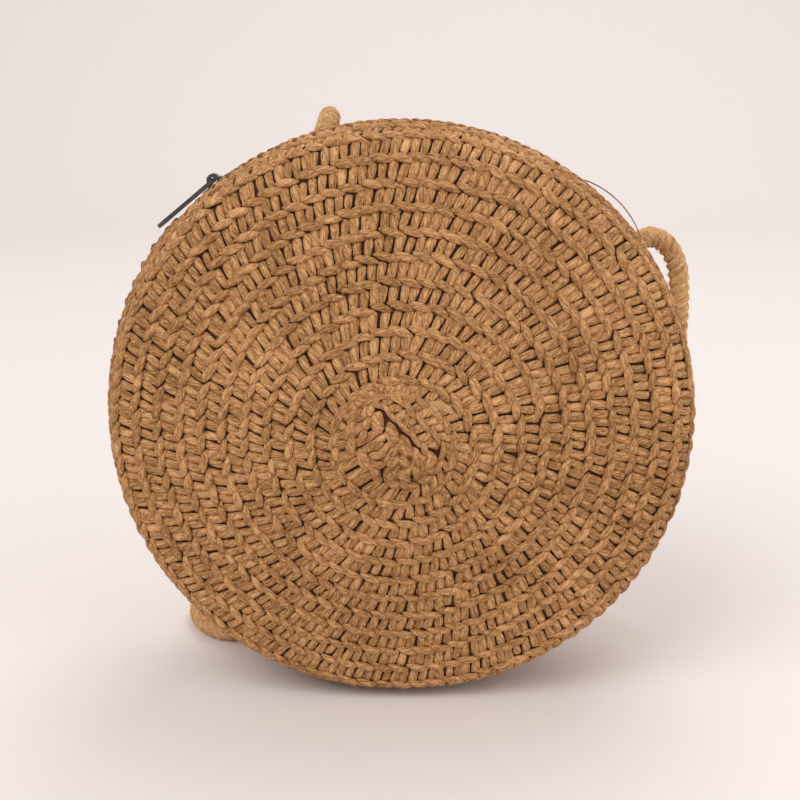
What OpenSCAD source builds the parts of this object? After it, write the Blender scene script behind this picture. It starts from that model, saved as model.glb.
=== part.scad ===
// Round cross-body bag: two sewn straw dishes, a zip between their rims and a rope strap.
// X points right, Y points away from the bag's front panel and Z points up.
// The origin is on the floor, under the middle of the bag.

/* [Straw dishes] */
// Diameter of the rim where the two dishes meet
rim_dia = 179.2; // [150:0.1:210]
// Depth of each dish from the rim to the middle of its panel
dish_depth = 40; // [37:0.5:44]
// Thickness of the sewn straw
straw_t = 2.4; // [1.8:0.1:3]
// Width of one row of the coiled braid
row_w = 7.1; // [5:0.1:9]
// How far the inner edge of each row stands over the row inside it
row_ridge = 0.9; // [0.4:0.1:1.4]
// Radius of the shoulder between the wall and the panel
shoulder_r = 7; // [6:0.5:9]
// Radius of the rounded middle of each panel
middle_r = 14; // [8:1:20]
// Outward lean of the front wall in degrees, negative for a wall that draws in
front_lean = -12; // [-14:1:-10]
// Slope of the front panel in degrees
front_slope = 13.5; // [12:0.5:15]
// Outward lean of the back wall in degrees, negative for a wall that draws in
back_lean = -18; // [-20:1:-14]
// Slope of the back panel in degrees
back_slope = 9; // [7:0.5:10]
// How far the bag sags flat where it stands
sag = 1.5; // [1.2:0.1:1.8]
// How far the bag has rolled to its right, in degrees
roll = 21; // [15:1:25]

/* [Zip] */
// Half the angle that the mouth takes up, in degrees
mouth_half_angle = 69; // [66:1:72]
// Half the width of the mouth between the two straw edges
mouth_half_w = 6; // [5.8:0.1:6.5]
// How far the middle of the teeth lies below the rim
chain_drop = 2.9; // [2.6:0.1:3.3]
// Distance from one tooth to the next on the same tape
tooth_pitch = 3; // [2.8:0.1:3.6]
// Height of a tooth through the tape
tooth_h = 2.4; // [2:0.1:2.6]
// Thickness of the zip's tape
tape_t = 0.7; // [0.4:0.1:0.9]
// Length of the slider along the zip
slider_len = 9; // [8:0.5:10]
// Half the width of the slider
slider_half_w = 4.1; // [3.9:0.1:4.2]
// Length of the pull tab from its bar to its tip
pull_len = 22; // [16:1:26]
// Width of the pull tab
pull_w = 6.4; // [5.6:0.2:7]

/* [Strap] */
// Diameter of the rope
rope_dia = 7; // [6:0.5:7.5]
// Angle of each strap hole from the middle of the mouth, in degrees
strap_half_angle = 37; // [34:1:40]
// Distance of each strap hole from the rim, along the back wall
strap_hole_s = 19; // [18:0.5:20]
// Angle between the rope and the wall that it comes out of, in degrees
strap_tilt = 50; // [48:1:56]
// Turns of the coiled part of the strap
coil_turns = 3; // [2:1:5]
// Radius of the coil at the middle of its outer turn
coil_r = 42; // [38:1:46]

/* [Lining] */
// Thickness of the lining cloth
cloth_t = 0.5; // [0.4:0.1:0.8]
// Space between the straw and the lining
lining_gap = 1.2; // [1:0.1:1.6]
// Width of the slip pocket
pocket_w = 90; // [70:2:96]
// Height of the slip pocket
pocket_h = 72; // [50:2:80]

/* [Hidden] */

// Roundness of turned shapes
round_fn = 96;
// Roundness of small turned shapes
small_fn = 32;
// How far a cut runs past what it cuts
over = 1;
// Gap between pieces that meet
seat_gap = 0.1;
// Clearance of sewn pieces, and of loose ones, from what carries them
sewn_gap = 0.16;
loose_gap = 0.3;

rim_r = rim_dia / 2;
// A dish is its lean, its panel slope and the length of its straight wall
function wall_length(lean, slope) =
    (dish_depth - shoulder_r * (sin(lean) + cos(slope))
        - (rim_r + shoulder_r * (sin(slope) - cos(lean)) - middle_r) * tan(slope)
        - middle_r / sin(slope) * (1 - cos(slope)))
    / (cos(lean) + sin(lean) * tan(slope));
front = [front_lean, front_slope, wall_length(front_lean, front_slope)];
back = [back_lean, back_slope, wall_length(back_lean, back_slope)];

// Lengths along the wall, shoulder, cone and rounded middle of a dish
function turn_deg(dish) = 90 + dish[0] - dish[1];
function shoulder_len(dish) = shoulder_r * turn_deg(dish) * PI / 180;
function shoulder_end(dish) = [
    rim_r + dish[2] * sin(dish[0]) + shoulder_r * (sin(dish[1]) - cos(dish[0])),
    dish[2] * cos(dish[0]) + shoulder_r * (sin(dish[0]) + cos(dish[1]))
];
function cone_len(dish) = (shoulder_end(dish)[0] - middle_r) / cos(dish[1]);
function middle_arc(dish) = middle_r / sin(dish[1]);
function dish_len(dish) = dish[2] + shoulder_len(dish) + cone_len(dish)
    + middle_arc(dish) * dish[1] * PI / 180;

// Radius, depth and heading of the dish at a length s from its rim
function on_wall(dish, s) =
    [rim_r + s * sin(dish[0]), s * cos(dish[0]), dish[0]];
function on_shoulder(dish, s) =
    let(a = dish[0] - s / shoulder_r * 180 / PI)
    [rim_r + dish[2] * sin(dish[0]) + shoulder_r * (cos(a) - cos(dish[0])),
     dish[2] * cos(dish[0]) + shoulder_r * (sin(dish[0]) - sin(a)), a];
function on_cone(dish, s) =
    let(from = shoulder_end(dish))
    [from[0] - s * cos(dish[1]), from[1] + s * sin(dish[1]), dish[1] - 90];
function on_middle(dish, s) =
    let(arc = middle_arc(dish), left = dish[1] - s / arc * 180 / PI)
    [arc * sin(left), dish_depth - arc * (1 - cos(left)), left - 90];
function dish_at(dish, s) =
    s <= dish[2] ? on_wall(dish, s)
    : s <= dish[2] + shoulder_len(dish) ? on_shoulder(dish, s - dish[2])
    : s <= dish[2] + shoulder_len(dish) + cone_len(dish)
        ? on_cone(dish, s - dish[2] - shoulder_len(dish))
    : on_middle(dish, s - dish[2] - shoulder_len(dish) - cone_len(dish));
// A radius below this one is taken as on the axis
axis_r = 0.01;
// The same place moved out through the straw by off
function dish_off(dish, s, off) =
    let(p = dish_at(dish, s), r = p[0] + off * cos(p[2]))
    [r < axis_r ? 0 : r, p[1] - off * sin(p[2])];

// Each row of braid laps over the next one in: place across the row, height of its ridge
row_shares = [[0, 0.1], [0.35, 0.45], [0.7, 0.85], [0.9, 1]];
function row_count(dish) = floor((dish_len(dish) - middle_r / 2) / row_w);
function braided_edge(dish) = [
    for (row = [0 : row_count(dish) - 1]) for (share = row_shares)
        dish_off(dish, (row + share[0]) * row_w, share[1] * row_ridge),
    dish_off(dish, row_count(dish) * row_w, 0),
    dish_off(dish, dish_len(dish), row_ridge)
];
function reversed(list) = [for (i = [len(list) - 1 : -1 : 0]) list[i]];
plain_steps = 34;
function plain_edge(dish, off) = [
    for (step = [0 : plain_steps]) dish_off(dish, step / plain_steps * dish_len(dish), off)
];

// The bag's middle, as far over the floor as the sagged rim lets it stand
widest_r = rim_r + row_shares[0][1] * row_ridge;
bag_z = widest_r - sag;
mouth_mid = 90 - roll;

// Puts a shape drawn round its own Z axis on the bag's axis, with its depth to the front
module on_axis() { translate([0, 0, bag_z]) rotate([90, 0, 0]) children(); }
// Puts a shape drawn along +X at an angle round the bag: X is outward, Z is along the rim
module around(angle) { translate([0, 0, bag_z]) rotate([0, -angle, 0]) children(); }
module to_back() { mirror([0, 1, 0]) children(); }

// A turned skin between an outer edge and an inner edge
module skin(outer_edge, inner_edge) {
    on_axis() rotate_extrude($fn = round_fn)
        polygon(concat(outer_edge, reversed(inner_edge)));
}
// One dish, cut off at the rim and pressed flat where the bag stands
module dish_skin(outer_edge, inner_edge) {
    intersection() {
        skin(outer_edge, inner_edge);
        translate([-rim_dia, -2 * dish_depth, 0])
            cube([2 * rim_dia, 2 * dish_depth - seat_gap / 2, 2 * rim_dia]);
    }
}

// The mouth is a long slot between the two rims
module mouth_cut(half_w) {
    around(mouth_mid - mouth_half_angle) rotate([90, 0, 0])
        rotate_extrude(angle = 2 * mouth_half_angle, $fn = round_fn)
            translate([rim_r - 4 * straw_t, -half_w]) square([6 * straw_t, 2 * half_w]);
}

// Strap holes
rope_r = rope_dia / 2;
strap_angles = [mouth_mid - strap_half_angle, mouth_mid + strap_half_angle];
hole_at = dish_at(back, strap_hole_s);
// Direction of the rope in the hole, measured from straight out towards the back
rope_heading = 90 - back_lean - strap_tilt;
rope_inside = 24;
rope_outside = 4.5;

module at_strap_hole(angle) {
    around(angle) translate([hole_at[0], hole_at[1], 0]) rotate([0, 0, rope_heading]) children();
}
module strap_hole(angle) {
    at_strap_hole(angle) translate([-rope_inside - over, 0, 0]) rotate([0, 90, 0])
        cylinder(h = rope_inside + 2 * rope_outside + over, r = rope_r + loose_gap, $fn = small_fn);
}

module front_shell() {
    color("peru") difference() {
        dish_skin(braided_edge(front), plain_edge(front, -straw_t));
        mouth_cut(mouth_half_w);
    }
}
module back_shell() {
    color("peru") difference() {
        to_back() dish_skin(braided_edge(back), plain_edge(back, -straw_t));
        mouth_cut(mouth_half_w);
        for (angle = strap_angles) strap_hole(angle);
    }
}

// Whip stitches that join the two rims below the mouth
stitch_pitch = 6.5;
stitch_r = 0.4;
stitch_len = 5;
stitch_slant = 20;
stitch_from = mouth_mid + mouth_half_angle + 3;
stitch_deg = 360 - 2 * mouth_half_angle - 6;
stitch_steps = floor(stitch_deg * PI / 180 * rim_r / stitch_pitch);
module rim_thread() {
    seat_r = rim_r + row_ridge / 2 + stitch_r;
    color("saddlebrown") for (step = [0 : stitch_steps])
        let(angle = stitch_from + step / stitch_steps * stitch_deg)
            if (bag_z + (seat_r + stitch_r) * sin(angle) > stitch_r)
                around(angle) translate([seat_r, 0, 0]) rotate([90 + stitch_slant, 0, 0])
                    cylinder(h = stitch_len, r = stitch_r, center = true, $fn = small_fn / 2);
}

// Zip
chain_r = rim_r - chain_drop;
tape_half_gap = 1.3;
tape_flat_w = 4.6;
tape_from_s = 6.7;
tape_to_s = 11;
tape_end_deg = 0.3;
tape_half_angle = mouth_half_angle - tape_end_deg;
tape_step_s = [0, 0.5, 1];
function tape_edge(dish, off) = [
    for (share = tape_step_s)
        dish_off(dish, tape_from_s + share * (tape_to_s - tape_from_s), off - sewn_gap)
];
module tape_section(dish, grow) {
    polygon(concat(
        [[chain_r - tape_t / 2 - grow, tape_half_gap - grow],
         [chain_r + tape_t / 2 + grow, tape_half_gap - grow],
         [chain_r + tape_t / 2 + grow, tape_flat_w]],
        tape_edge(dish, -straw_t),
        reversed(tape_edge(dish, -straw_t - tape_t)),
        [[chain_r - tape_t / 2 - grow, tape_flat_w]]));
}
module tape(dish, grow) {
    around(mouth_mid - tape_half_angle) rotate([90, 0, 0])
        rotate_extrude(angle = 2 * tape_half_angle, $fn = round_fn) tape_section(dish, grow);
}

chain_from = mouth_mid - mouth_half_angle + 8.5;
chain_to = mouth_mid + mouth_half_angle - 9;
tooth_deg = tooth_pitch / chain_r * 180 / PI;
tooth_count = floor((chain_to - chain_from) / tooth_deg);
tooth_body_w = 1.8;
tooth_neck_w = 0.9;
tooth_head_w = 1.5;
tooth_head_len = 0.9;
tooth_reach = 1.1;
tooth_shoulder = 1.4;
tooth_grip = 2.8;
// One tooth seen from outside: a grip on the tape, a neck and a head past the middle
module tooth() {
    half_body = tooth_body_w / 2;
    half_neck = tooth_neck_w / 2;
    half_head = tooth_head_w / 2;
    neck_end = tooth_reach - tooth_head_len;
    translate([chain_r - tooth_h / 2, 0, 0]) rotate([0, 90, 0]) linear_extrude(tooth_h) polygon([
        [-half_body, -tooth_grip], [half_body, -tooth_grip], [half_body, -tooth_shoulder],
        [half_neck, -tooth_shoulder], [half_neck, neck_end], [half_head, neck_end],
        [half_head, (neck_end + tooth_reach) / 2], [half_neck, tooth_reach],
        [-half_neck, tooth_reach], [-half_head, (neck_end + tooth_reach) / 2],
        [-half_head, neck_end], [-half_neck, neck_end], [-half_neck, -tooth_shoulder],
        [-half_body, -tooth_shoulder]]);
}
// Each row of teeth is cast round the edge of its tape
module teeth(dish, first) {
    difference() {
        for (step = [0 : tooth_count - 1]) around(chain_from + (step + first) * tooth_deg) tooth();
        tape(dish, seat_gap);
    }
}
module front_tape() { color("burlywood") tape(front, 0); }
module back_tape() { color("burlywood") to_back() tape(back, 0); }
module front_teeth() { color("tan") teeth(front, 0); }
module back_teeth() { color("tan") to_back() teeth(back, 0.5); }

// Slider: two plates with lips that hold the tapes, joined by a wedge at its front end
slider_angle = 128;
slider_run_gap = 0.35;
plate_t = 1.1;
lip_w = 0.7;
lip_gap = 0.45;
channel_half_h = tooth_h / 2 + slider_run_gap;
slider_top = chain_r + channel_half_h + plate_t;
wedge_half_w = 1.1;
wedge_in = 0.2;
rear_half_w = slider_half_w - 0.5;
slider_corner = 1.2;
// Outline of the slider seen from outside; its front end is at -X
module slider_outline() {
    half = slider_len / 2;
    wide = slider_half_w;
    narrow = rear_half_w;
    polygon([
        [-half, -wide + slider_corner], [-half + slider_corner, -wide],
        [0, -wide], [half - slider_corner, -narrow], [half, -narrow + slider_corner],
        [half, narrow - slider_corner], [half - slider_corner, narrow],
        [0, wide], [-half + slider_corner, wide], [-half, wide - slider_corner]]);
}
module at_slider(r) { around(slider_angle) translate([r, 0, 0]) rotate([0, 90, 0]) children(); }
module slider_lip(from_r, height) {
    at_slider(from_r) linear_extrude(height) difference() {
        slider_outline();
        translate([-slider_len, lip_w - slider_half_w])
            square([2 * slider_len, 2 * (slider_half_w - lip_w)]);
    }
}
module slider_body() {
    // Lips and wedge reach half way into the plates
    lip_h = channel_half_h - tape_t / 2 - lip_gap + plate_t / 2;
    inner_r = chain_r - channel_half_h - plate_t / 2;
    color("dimgray") union() {
        at_slider(chain_r - channel_half_h - plate_t) linear_extrude(plate_t) slider_outline();
        at_slider(chain_r + channel_half_h) linear_extrude(plate_t) slider_outline();
        slider_lip(inner_r, lip_h);
        slider_lip(chain_r + channel_half_h + plate_t / 2 - lip_h, lip_h);
        at_slider(inner_r) linear_extrude(2 * channel_half_h + plate_t) polygon([
            [-slider_len / 2 + wedge_in, -wedge_half_w], [-slider_len / 2 + wedge_in, wedge_half_w],
            [-slider_len / 2 + wedge_half_w, wedge_half_w],
            [-slider_len / 2 + 2 * wedge_half_w, 0],
            [-slider_len / 2 + wedge_half_w, -wedge_half_w]]);
    }
}

// Bail: an arch over the slider that holds the pull tab's bar
bar_r = 0.7;
bar_gap = 0.25;
bail_t = 1;
bail_w = 2.6;
bail_foot = 0.6;
pivot_r = slider_top + bar_r + bar_gap;
module slider_bail() {
    inner_r = bar_r + bar_gap;
    outer_r = inner_r + bail_t;
    rise = pivot_r - slider_top;
    color("dimgray") around(slider_angle) translate([slider_top, bail_w / 2, 0])
        rotate([90, 0, 0]) linear_extrude(bail_w) difference() {
            union() {
                translate([rise, 0]) circle(outer_r, $fn = small_fn);
                translate([0, -outer_r]) square([rise, 2 * outer_r]);
                translate([0, -outer_r - bail_foot]) square([bail_t * 0.6, 2 * (outer_r + bail_foot)]);
            }
            translate([rise, 0]) circle(inner_r, $fn = small_fn);
            translate([-over, -inner_r]) square([rise + over, 2 * inner_r]);
            translate([-2 * outer_r, -2 * outer_r]) square([2 * outer_r, 4 * outer_r]);
        }
}

// Pull tab: a plate with a window at its bar and a grip hole near its round tip
pull_rest = -1;
pull_t = 1.2;
window_len = 2.8;
window_w = bail_w + 2 * loose_gap;
pull_waist_w = 4.6;
grip_r = 1.4;
module pull_tab() {
    tip_r = pull_w / 2;
    color("dimgray") around(slider_angle) translate([pivot_r, 0, 0]) rotate([0, pull_rest, 0]) {
        rotate([90, 0, 0]) cylinder(h = window_w + over, r = bar_r, center = true, $fn = small_fn);
        translate([-pull_t / 2, 0, 0]) rotate([0, 90, 0]) linear_extrude(pull_t) difference() {
            union() {
                translate([-window_len - bail_t, -pull_w / 2]) square([window_len + bail_t, pull_w]);
                polygon([
                    [-window_len - bail_t, -pull_w / 2], [-window_len - bail_t, pull_w / 2],
                    [-pull_len / 2, pull_waist_w / 2], [-pull_len + tip_r, tip_r],
                    [-pull_len + tip_r, -tip_r], [-pull_len / 2, -pull_waist_w / 2]]);
                translate([-pull_len + tip_r, 0]) circle(tip_r, $fn = small_fn);
            }
            translate([-window_len, -window_w / 2]) square([window_len + over, window_w]);
            translate([-pull_len + tip_r, 0]) circle(grip_r, $fn = small_fn);
        }
    }
}

// Stops clamped on the tapes at the ends of the chain
stop_len = 2;
stop_h = 2.6;
stop_w = 1.9;
stop_bridge = 0.6;
stop_gap_deg = 0.25;
stop_deg = (slider_len / 2 + stop_len / 2) / chain_r * 180 / PI + stop_gap_deg;
module top_stop(dish) {
    color("dimgray") difference() {
        around(slider_angle + stop_deg)
            translate([chain_r, stop_bridge + seat_gap - tape_half_gap - stop_w / 2, 0])
                cube([stop_h, stop_w, stop_len], center = true);
        tape(dish, seat_gap);
    }
}
module front_top_stop() { top_stop(front); }
module back_top_stop() { to_back() top_stop(back); }
module bottom_stop() {
    color("dimgray") difference() {
        around(chain_from - (stop_len + tooth_body_w) / chain_r * 180 / PI)
            translate([chain_r, 0, 0]) cube([stop_h, 2 * tooth_grip, stop_len], center = true);
        tape(front, seat_gap);
        to_back() tape(back, seat_gap);
    }
}

// Lining
lining_off = -straw_t - lining_gap;
module lining(dish) {
    dish_skin(plain_edge(dish, lining_off), plain_edge(dish, lining_off - cloth_t));
}
lining_mouth_half_w = mouth_half_w + 0.5;
module front_lining() {
    color("linen") difference() {
        lining(front);
        mouth_cut(lining_mouth_half_w);
    }
}
module back_lining() {
    color("linen") difference() {
        to_back() lining(back);
        mouth_cut(lining_mouth_half_w);
        for (angle = strap_angles) strap_hole(angle);
    }
}
// Slip pocket: a patch of cloth that follows the back panel, with its mouth folded over
pocket_corner = 14;
pocket_mid_drop = 8;
pocket_hem_h = 8;
pocket_bottom = bag_z - pocket_mid_drop - pocket_h / 2;
pocket_off = lining_off - cloth_t - seat_gap;
module slip_pocket() {
    half_w = pocket_w / 2;
    color("linen") to_back() intersection() {
        skin(plain_edge(back, pocket_off), plain_edge(back, pocket_off - cloth_t));
        rotate([90, 0, 0]) linear_extrude(2 * dish_depth) polygon([
            [-half_w, pocket_bottom + pocket_corner], [-half_w + pocket_corner, pocket_bottom],
            [half_w - pocket_corner, pocket_bottom], [half_w, pocket_bottom + pocket_corner],
            [half_w, pocket_bottom + pocket_h], [-half_w, pocket_bottom + pocket_h]]);
    }
}
module pocket_hem() {
    fold = pocket_off - cloth_t - seat_gap;
    color("linen") to_back() intersection() {
        skin(plain_edge(back, fold), plain_edge(back, fold - cloth_t));
        translate([-pocket_w / 2, -2 * dish_depth, pocket_bottom + pocket_h - pocket_hem_h])
            cube([pocket_w, 2 * dish_depth, pocket_hem_h]);
    }
}

// Each end of the strap runs in through its hole and ends in a round knot with a short tail
knot_from = 9.4;
knot_len = 11.2;
knot_r = 6.4;
// Outline of the knot along the rope: place along it, height over the rope
knot_shares = [
    [0, 0], [0.05, 0.45], [0.13, 0.8], [0.25, 1], [0.37, 0.9], [0.46, 0.62], [0.5, 0.55],
    [0.54, 0.62], [0.63, 0.9], [0.75, 1], [0.87, 0.8], [0.95, 0.45], [1, 0]
];
module knot(angle) {
    color("burlywood") at_strap_hole(angle) rotate([0, 90, 0]) rotate_extrude($fn = small_fn)
        polygon(concat(
            [[0, rope_outside], [rope_r, rope_outside]],
            [for (place = knot_shares)
                [rope_r + place[1] * (knot_r - rope_r), -knot_from - place[0] * knot_len]],
            [[rope_r, -rope_inside + loose_gap], [rope_r - loose_gap, -rope_inside],
             [0, -rope_inside]]));
}
module right_knot() { knot(strap_angles[0]); }
module left_knot() { knot(strap_angles[1]); }

// Rope: a tube swept along a route, its ring turned as little as it can be
function unit(v) = v / norm(v);
function heading_at(path, i) =
    unit(path[min(i + 1, len(path) - 1)] - path[max(i - 1, 0)]);
function across(v, t) = unit(v - (v * t) * t);
function frames(path, u, i) =
    i == len(path) ? []
    : let(v = across(u, heading_at(path, i))) concat([v], frames(path, v, i + 1));
module tube(path, r, sides, first_across) {
    ups = frames(path, first_across, 0);
    rings = len(path);
    points = [for (i = [0 : rings - 1]) let(t = heading_at(path, i), side = cross(t, ups[i]))
        for (k = [0 : sides - 1])
            path[i] + r * (cos(360 * k / sides) * ups[i] + sin(360 * k / sides) * side)];
    wall_faces = [for (i = [0 : rings - 2]) for (k = [0 : sides - 1])
        let(a = i * sides + k, b = i * sides + (k + 1) % sides)
            each [[a, a + sides, b], [b, a + sides, b + sides]]];
    start_face = [for (k = [1 : sides - 2]) [0, k, k + 1]];
    end_first = (rings - 1) * sides;
    end_face = [for (k = [1 : sides - 2]) [end_first, end_first + k + 1, end_first + k]];
    polyhedron(concat(points), concat(wall_faces, start_face, end_face));
}
// A smooth curve through the route's own points
function smooth(p, i, t) =
    let(a = p[max(i - 1, 0)], b = p[i], c = p[i + 1], d = p[min(i + 2, len(p) - 1)])
    0.5 * ((2 * b) + (c - a) * t + (2 * a - 5 * b + 4 * c - d) * t * t
        + (3 * b - a - 3 * c + d) * t * t * t);
route_steps = 2;
function smoothed(p) = concat(
    [for (i = [0 : len(p) - 2]) for (k = [0 : route_steps - 1]) smooth(p, i, k / route_steps)],
    [p[len(p) - 1]]);

// Where the rope leaves its hole, at a length t from the wall
function hole_point(angle, t) = let(r = hole_at[0] + t * cos(rope_heading))
    [r * cos(angle), hole_at[1] + t * sin(rope_heading), bag_z + r * sin(angle)];
function leaving(angle) = [
    hole_point(angle, rope_outside + seat_gap), hole_point(angle, rope_outside + rope_r / 3)
];
coil_mid = [0, 84];
coil_z = 4.3;
coil_step = rope_dia + 0.6;
// The coil's two straight ends and the last stretch of each run that meets it
coil_front = coil_mid[1] - coil_r;
function meeting(side, z) = [
    [side * (rope_dia + rope_r), coil_front, z], [side * (rope_dia + seat_gap), coil_front, z]
];
right_route = [
    [76, 26.6, 136.4], [79.8, 29.6, 138.4], [84.6, 31.9, 137.1], [88.3, 33.6, 133.7],
    [91, 34.4, 128.4], [92.2, 34.6, 121.4], [92.6, 34.6, 112.5], [92.5, 34.7, 102.6],
    [91.8, 35, 91.6], [88.5, 35.8, 76.5], [83.1, 37.2, 59.3], [75, 39, 42.2],
    [64.3, 41, 26.6], [53.2, 42.3, 15], [40, 42.7, 7.5], [26, 42.3, 4.8], [16, 42, 4.3]
];
left_route = [
    [-16, 41.8, 11.4], [-22.5, 39.4, 8.6], [-30, 37.4, 5.4], [-37.1, 33.2, 4],
    [-43.8, 27.2, 3.6], [-50.9, 21, 3.6], [-58.6, 18.6, 3.6], [-66, 22.2, 3.6],
    [-70.9, 29.4, 3.6], [-72.8, 37.4, 3.6], [-71.2, 44, 3.6], [-66.6, 48.8, 3.6],
    [-60.2, 50.4, 4], [-53, 50.2, 6.3], [-47, 49.4, 12], [-43.2, 47.8, 21.5],
    [-40.8, 46.6, 34], [-38.6, 45.4, 50], [-36.6, 44.6, 68], [-34.8, 44, 86],
    [-33, 43.6, 104], [-31, 43.6, 122], [-28.6, 43.7, 140], [-26.3, 43.7, 153.9],
    [-24.6, 43, 165], [-23.8, 41, 170.6], [-23.3, 37.7, 174.3], [-22.9, 34, 176],
    [-22.8, 30.4, 175.5], [-23.2, 27.2, 174.3]
];
module strap_right_run() {
    path = concat(leaving(strap_angles[0]), smoothed(right_route), meeting(1, coil_z));
    color("burlywood") tube(path, rope_r, 8, [0, 0, 1]);
}
module strap_left_run() {
    path = concat(reversed(meeting(-1, coil_z + coil_step)), smoothed(left_route),
        reversed(leaving(strap_angles[1])));
    color("burlywood") tube(path, rope_r, 8, [0, 0, 1]);
}

// Coil: one unbroken tube that spirals in, climbs a layer in its middle half turn and spirals out
rings_per_turn = 24;
coil_half_deg = coil_turns * 180;
function coil_layer(deg) =
    let(climb = max(-90, min(90, deg - coil_half_deg))) (1 + sin(climb)) / 2;
function coil_point(deg) =
    let(r = coil_r - coil_step * (coil_half_deg - abs(deg - coil_half_deg)) / 360)
    [coil_mid[0] - r * sin(deg), coil_mid[1] - r * cos(deg), coil_z + coil_step * coil_layer(deg)];
coil_path = concat(
    [[rope_dia, coil_front, coil_z]],
    [for (i = [0 : rings_per_turn * coil_turns]) coil_point(i * 360 / rings_per_turn)],
    [[-rope_dia, coil_front, coil_z + coil_step]]);
coil_gap = min([for (i = [0 : len(coil_path) - 1]) for (k = [i + 1 : 1 : len(coil_path) - 1])
    if (k - i > rings_per_turn / 3) norm(coil_path[i] - coil_path[k])]) - rope_dia;
echo(coil_gap = coil_gap);
module strap_coil() {
    color("burlywood") tube(coil_path, rope_r, 6, [0, 0, 1]);
}

// Tie: a flat band round the whole bundle at the far side of the coil
tie_t = 0.6;
tie_w = 6;
module tie_section(grow) {
    low = coil_z - rope_r - loose_gap / 2;
    high = coil_z + coil_step + rope_r + loose_gap / 2;
    inner = coil_r - coil_step * coil_turns / 2 - rope_r - loose_gap / 2;
    outer = coil_r - coil_step / 2 + rope_r + loose_gap / 2;
    translate([inner - grow, low - grow])
        square([outer - inner + 2 * grow, high - low + 2 * grow]);
}
module coil_tie() {
    color("wheat") translate([coil_mid[0] + tie_w / 2, coil_mid[1], 0]) rotate([90, 0, -90])
        linear_extrude(tie_w) mirror([1, 0]) difference() {
            tie_section(tie_t);
            tie_section(0);
        }
}

echo(bag_z = bag_z, front = front, back = back, widest_r = widest_r);
echo(hole = hole_at, teeth = [chain_from, chain_to, tooth_count], pivot_r = pivot_r);

front_shell();
back_shell();
rim_thread();
front_tape();
back_tape();
front_teeth();
back_teeth();
front_top_stop();
back_top_stop();
bottom_stop();
slider_body();
slider_bail();
pull_tab();
front_lining();
back_lining();
slip_pocket();
pocket_hem();
right_knot();
left_knot();
strap_right_run();
strap_coil();
coil_tie();
strap_left_run();
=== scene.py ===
"""Looks of the round woven cross-body bag: braid, edges, strap, zip, linings and stage."""

import math

import bpy
import numpy as np
from bpy.props import FloatProperty, FloatVectorProperty, PointerProperty
from mathutils import Matrix, Vector


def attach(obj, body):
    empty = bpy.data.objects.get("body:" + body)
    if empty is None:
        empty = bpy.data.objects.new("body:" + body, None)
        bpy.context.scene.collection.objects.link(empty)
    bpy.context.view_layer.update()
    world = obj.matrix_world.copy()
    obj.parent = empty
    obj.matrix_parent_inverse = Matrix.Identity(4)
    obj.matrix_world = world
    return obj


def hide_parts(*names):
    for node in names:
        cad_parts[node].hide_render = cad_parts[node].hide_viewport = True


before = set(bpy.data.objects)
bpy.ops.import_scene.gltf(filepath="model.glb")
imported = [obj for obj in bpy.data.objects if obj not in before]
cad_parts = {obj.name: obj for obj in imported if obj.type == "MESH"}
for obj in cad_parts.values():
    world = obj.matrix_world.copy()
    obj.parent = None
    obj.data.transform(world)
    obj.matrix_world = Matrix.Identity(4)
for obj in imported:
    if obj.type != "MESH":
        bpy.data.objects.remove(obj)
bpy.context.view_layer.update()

bl_info = {
    "name": "Round Woven Bag",
    "version": (1, 0, 0),
    "blender": (4, 5, 0),
    "location": "View3D > Sidebar > Woven Bag",
    "description": "Builds the braid, edges, strap, zip and linings of a round woven bag",
    "category": "Object",
}

# Sizes are in millimetres and angles in degrees, and the main ones are those of the solids.
# S is a length along a dish's wall and panel, from the rim.
MM = 0.001
BAG_Z = 88.19
RIM_R = 89.6
DISH_DEPTH = 40.0
SHOULDER_R = 7.0
MIDDLE_R = 14.0
STRAW_T = 2.4
MOUTH = (0.0, 138.0)
EDGE_S = 6.2
RING_S = 13.2
CHAIN_R = 86.7
TURN = 2 * math.pi
# Below PRESS_FROM the bag's weight squeezes the straw that would reach PRESS_REACH into the floor
PRESS_FROM = 4.0
PRESS_REACH = 2.7
LEAST_HIGH = 0.05
rng = np.random.default_rng(11)


# -------- shapes


def pressed(high, least):
    """Heights over the floor, squeezed near it."""
    low = PRESS_FROM * (high + PRESS_REACH) / (PRESS_FROM + PRESS_REACH)
    return np.where(high < PRESS_FROM, np.maximum(low, least), high)


def eased(share):
    """A share from 0 to 1 with soft ends."""
    return share * share * (3 - 2 * share)


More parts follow.
